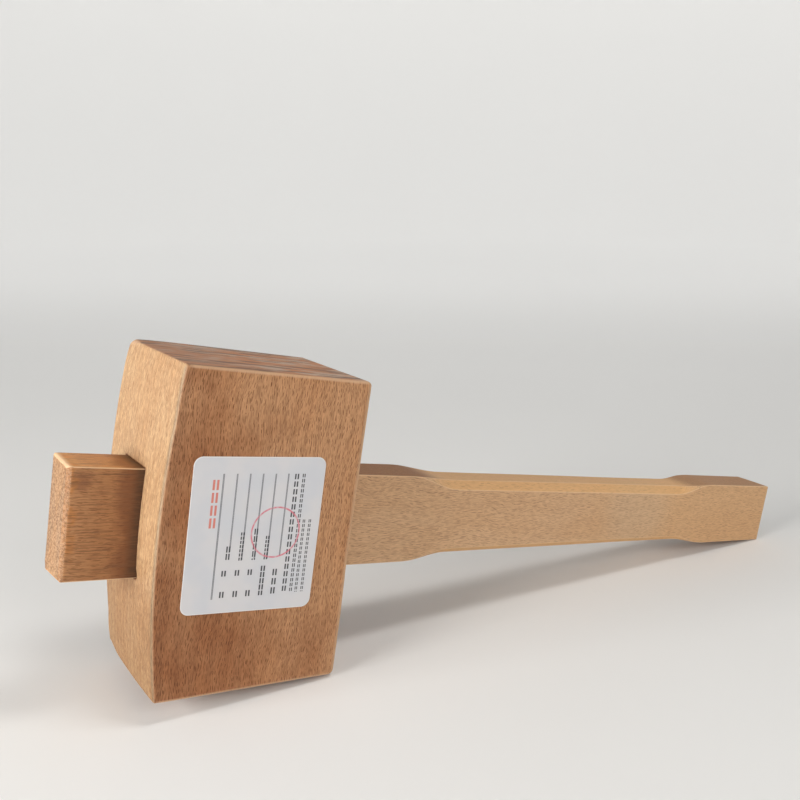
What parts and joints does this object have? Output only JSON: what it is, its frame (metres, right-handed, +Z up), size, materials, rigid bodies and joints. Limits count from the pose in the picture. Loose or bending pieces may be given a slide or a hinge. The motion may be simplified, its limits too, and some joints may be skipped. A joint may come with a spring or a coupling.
{
  "type": "wooden mallet",
  "caption": "Carpenter's wooden mallet: a domed block head on a tapered through handle with a waisted, chamfered grip and a paper label on one cheek.",
  "frame": {"origin": "on the bench the mallet lies on, under the middle of its bounding box, as it is put down on the head's lower hand-side edge and the butt's lower corner", "axes": "+X along the mallet towards the butt, level; +Y across the handle, away from the labelled cheek; +Z up. The handle's own axis slopes down towards the butt by 9.51 degrees about +Y"},
  "size_m": [0.4414, 0.0701, 0.157],
  "materials": {
    "head_wood": "satin",
    "handle_wood": "satin",
    "label_paper": "matte"
  },
  "bodies": {
    "head": {"head": "head_wood", "label": "label_paper"},
    "handle": {"handle": "handle_wood"}
  },
  "joints": [
    {"name": "handle_draw", "type": "slide", "parent": "head", "child": "handle", "axis": [-0.9863, 0, 0.1651], "range_m": [0, 0.41]}
  ]
}
